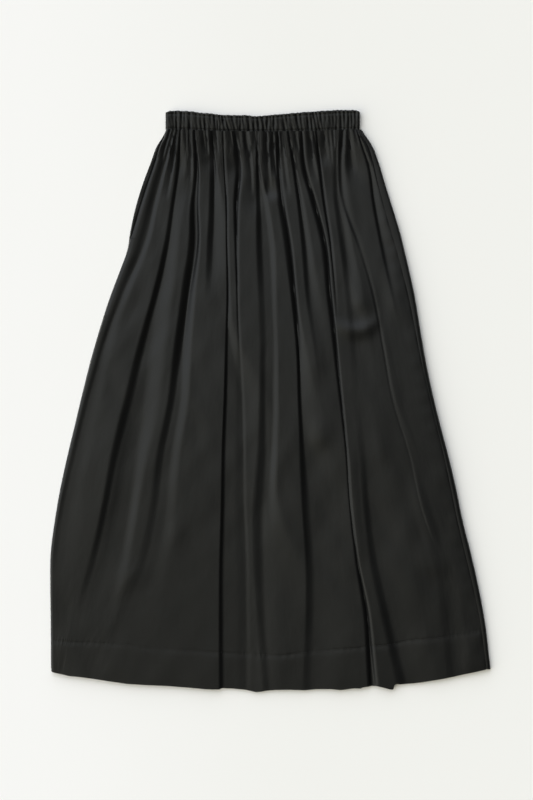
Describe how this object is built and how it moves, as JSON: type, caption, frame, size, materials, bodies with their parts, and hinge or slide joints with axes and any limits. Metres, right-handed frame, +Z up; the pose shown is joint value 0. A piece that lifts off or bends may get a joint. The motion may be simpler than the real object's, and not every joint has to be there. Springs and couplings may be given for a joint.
{
  "type": "gathered skirt",
  "caption": "Long gathered satin skirt with an elasticated waistband, laid flat with its front up.",
  "frame": {"origin": "on the surface it lies on, below the middle of its bounding box", "axes": "+Z up out of the skirt's front, +Y towards the waistband, +X towards its right-hand edge as seen from above"},
  "size_m": [0.664, 0.8763, 0.0153],
  "materials": {
    "satin": "black crepe-backed satin, soft sheen",
    "thread": "black polyester thread"
  },
  "bodies": {
    "root": {"front_panel": "satin", "back_panel": "satin", "waistband": "satin", "pocket_facing_left": "satin"}
  },
  "joints": []
}
